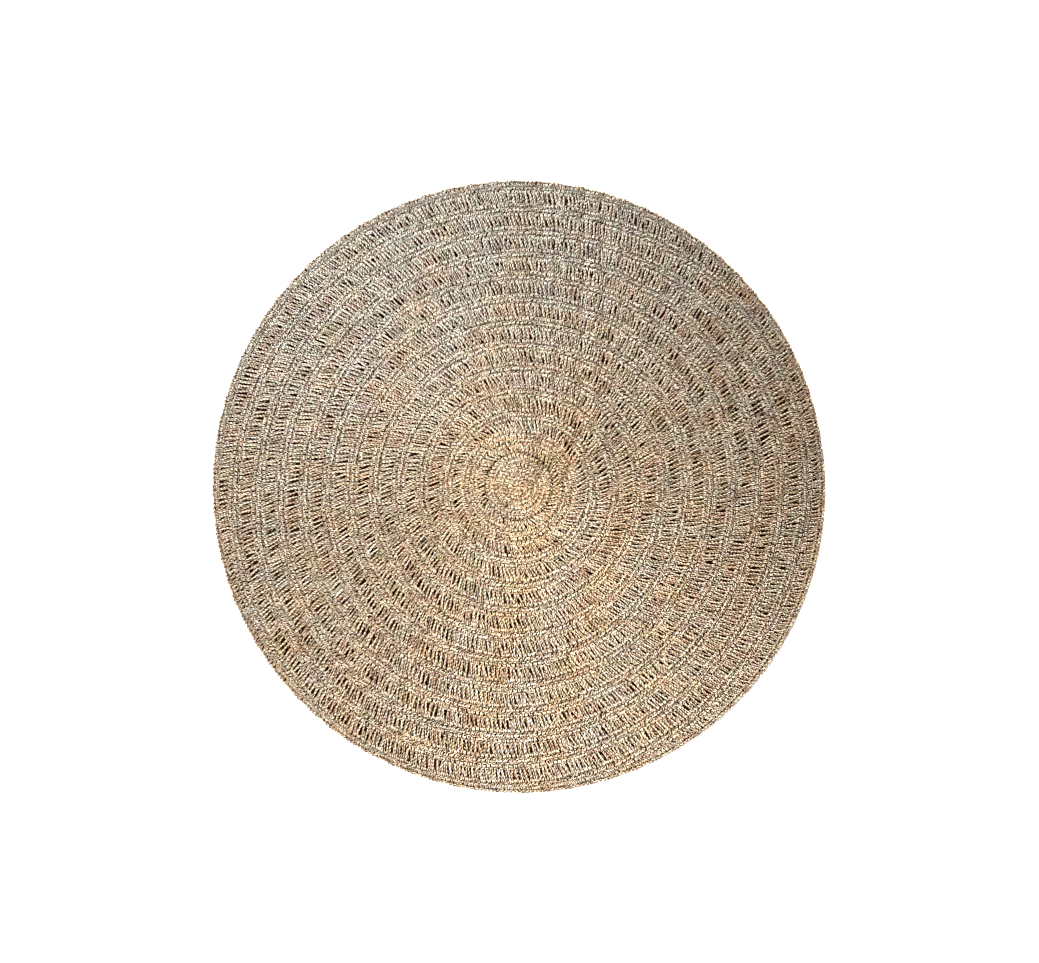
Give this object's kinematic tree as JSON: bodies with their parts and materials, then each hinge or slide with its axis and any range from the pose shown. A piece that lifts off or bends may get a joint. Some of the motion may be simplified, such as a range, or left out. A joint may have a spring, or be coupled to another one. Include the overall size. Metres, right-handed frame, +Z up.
{
  "type": "round seagrass rug",
  "caption": "Flat round rug crocheted from seagrass cord, with close raised rounds between open rounds of tall slanted stitches and their slits.",
  "frame": {"origin": "centre of the rug's flat underside, where the centre of the crochet meets the floor", "axes": "+Z up out of the rug's face, +Y towards the top of the picture and +X to its right"},
  "size_m": [1.5, 1.5, 0.01],
  "materials": {
    "seagrass": "dry twisted grass cord, matt with a faint silky shine, golden tan in the middle and greyer outwards"
  },
  "bodies": {
    "root": {"rug": "seagrass"}
  },
  "joints": []
}
